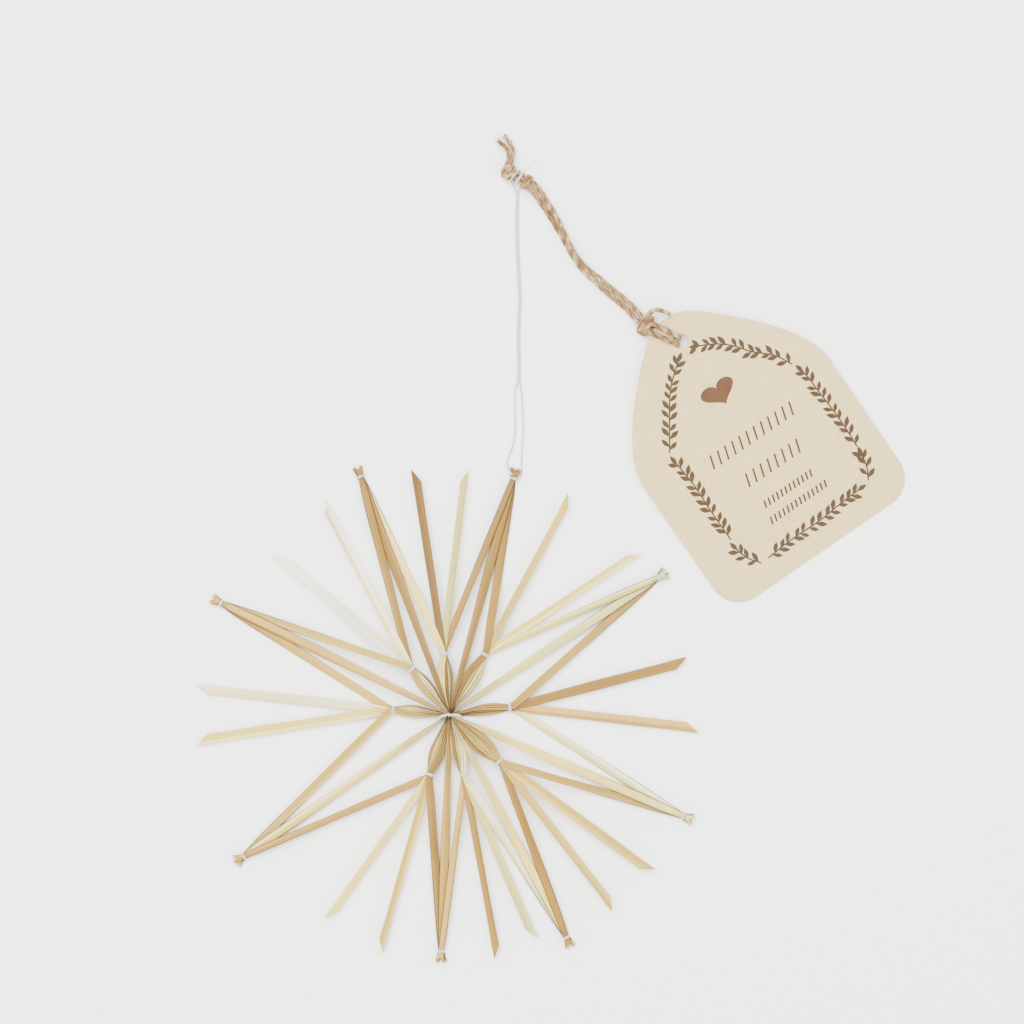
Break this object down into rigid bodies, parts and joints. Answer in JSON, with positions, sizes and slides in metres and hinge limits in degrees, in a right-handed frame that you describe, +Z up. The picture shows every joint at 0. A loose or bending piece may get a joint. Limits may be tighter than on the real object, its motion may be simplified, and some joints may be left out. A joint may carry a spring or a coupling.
{
  "type": "straw star ornament",
  "caption": "Flattened straws crossed and tied with thread into a flat star, with tied fishtail tips, sharp free tips, a hanging thread and a card swing tag on jute twine.",
  "frame": {"origin": "under the middle of the star, on the surface that it lies on: the middle of the middle tie's flat underside", "axes": "+Z up, out of the face that the picture shows; +Y towards the top of the picture; +X to its right, towards the tag"},
  "size_m": [0.2126, 0.2475, 0.0072],
  "materials": {
    "straw": "golden tan flattened straw, smooth, slightly shiny, with fine lengthwise fibres",
    "pale_straw": "pale straw, slightly green or whitish, smooth, slightly shiny, with fine lengthwise fibres",
    "thread": "white twisted cotton thread, matt",
    "twine": "light tan two-ply jute twine, rough and fibrous",
    "card": "uncoated cream card, matt, printed in brown with leaf sprigs, a heart and rows of plain strokes"
  },
  "bodies": {
    "root": {"straw_01": "pale_straw", "straw_02": "pale_straw", "straw_03": "pale_straw", "straw_04": "pale_straw", "straw_05": "pale_straw", "straw_06": "straw", "straw_07": "straw", "straw_08": "straw", "straw_09": "straw", "straw_10": "pale_straw", "straw_11": "straw", "straw_12": "straw", "straw_13": "straw", "straw_14": "straw", "straw_15": "pale_straw", "straw_16": "straw", "straw_17": "straw", "straw_18": "straw", "straw_19": "straw", "straw_20": "pale_straw", "inner_tie_1": "thread", "inner_tie_2": "thread", "inner_tie_3": "thread", "inner_tie_4": "thread", "inner_tie_5": "thread", "inner_tie_6": "thread", "inner_tie_7": "thread", "inner_tie_8": "thread", "tip_tie_1": "thread", "tip_tie_2": "thread", "tip_tie_3": "thread", "tip_tie_4": "thread", "tip_tie_5": "thread", "tip_tie_6": "thread", "tip_tie_7": "thread", "tip_tie_8": "thread", "middle_tie": "thread", "hanging_thread": "thread", "thread_knot": "thread", "twine_strand_1": "twine", "twine_strand_2": "twine", "twine_end_tail": "twine", "twine_tag_tail": "twine", "tag_loop_1": "twine", "tag_loop_2": "twine", "twine_end_knot": "twine", "twine_tag_knot": "twine", "tag": "card"}
  },
  "joints": []
}
